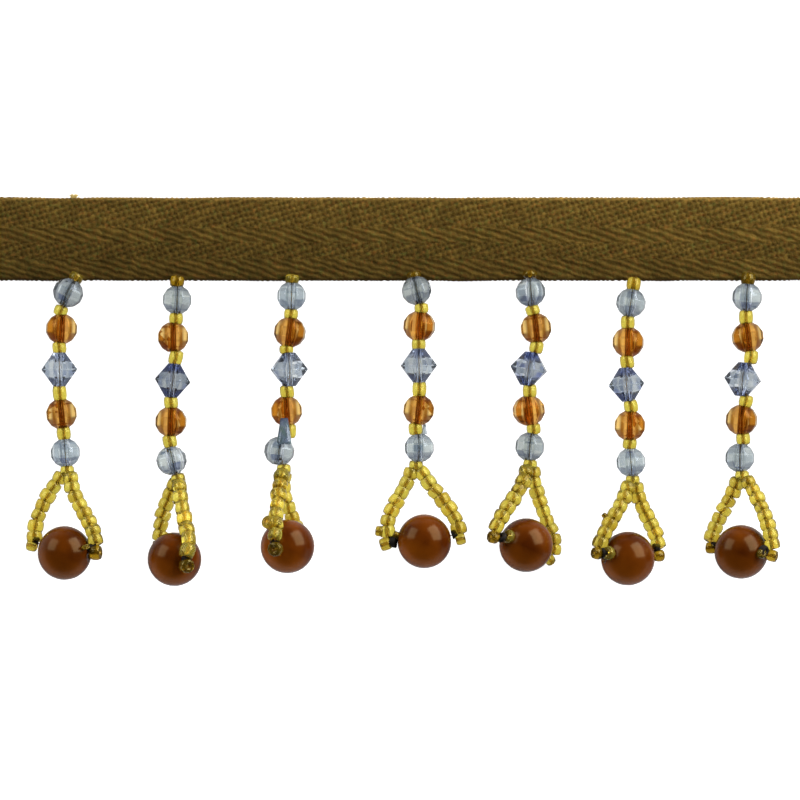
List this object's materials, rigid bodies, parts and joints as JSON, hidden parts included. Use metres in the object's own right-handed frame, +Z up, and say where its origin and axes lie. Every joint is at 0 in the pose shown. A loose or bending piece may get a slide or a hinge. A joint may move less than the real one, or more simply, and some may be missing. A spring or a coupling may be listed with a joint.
{
  "type": "beaded fringe trim",
  "caption": "Cut length of olive herringbone tape with bead drops hung from its edge, each ending in a loop of small golden beads round a large brown bead.",
  "frame": {"origin": "centre of the trim's outline, on the surface that it lies on", "axes": "+X along the tape, +Y from the drops towards the tape, +Z up from the surface through the face"},
  "size_m": [0.148, 0.07, 0.0136],
  "materials": {
    "twill_tape": "herringbone twill",
    "seed_beads": "clear yellow",
    "blue_glass": "clear",
    "amber_glass": "clear",
    "brown_resin": "polished"
  },
  "bodies": {
    "root": {"tape": "twill_tape", "drop1_blue_top": "blue_glass", "drop1_amber_top": "amber_glass", "drop1_bicone": "blue_glass", "drop1_amber_low": "amber_glass", "drop1_blue_low": "blue_glass", "drop1_brown": "brown_resin", "drop1_thread": "seed_beads", "drop2_blue_top": "blue_glass", "drop2_amber_top": "amber_glass", "drop2_bicone": "blue_glass", "drop2_amber_low": "amber_glass", "drop2_blue_low": "blue_glass", "drop2_brown": "brown_resin", "drop2_thread": "seed_beads", "drop3_blue_top": "blue_glass", "drop3_amber_top": "amber_glass", "drop3_bicone": "blue_glass", "drop3_amber_low": "amber_glass", "drop3_blue_low": "blue_glass", "drop3_brown": "brown_resin", "drop3_thread": "seed_beads", "drop4_blue_top": "blue_glass", "drop4_amber_top": "amber_glass", "drop4_bicone": "blue_glass", "drop4_amber_low": "amber_glass", "drop4_blue_low": "blue_glass", "drop4_brown": "brown_resin", "drop4_thread": "seed_beads", "drop5_blue_top": "blue_glass", "drop5_amber_top": "amber_glass", "drop5_bicone": "blue_glass", "drop5_amber_low": "amber_glass", "drop5_blue_low": "blue_glass", "drop5_brown": "brown_resin", "drop5_thread": "seed_beads", "drop6_blue_top": "blue_glass", "drop6_amber_top": "amber_glass", "drop6_bicone": "blue_glass", "drop6_amber_low": "amber_glass", "drop6_blue_low": "blue_glass", "drop6_brown": "brown_resin", "drop6_thread": "seed_beads", "drop7_blue_top": "blue_glass", "drop7_amber_top": "amber_glass", "drop7_bicone": "blue_glass", "drop7_amber_low": "amber_glass", "drop7_blue_low": "blue_glass", "drop7_brown": "brown_resin", "drop7_thread": "seed_beads"}
  },
  "joints": []
}
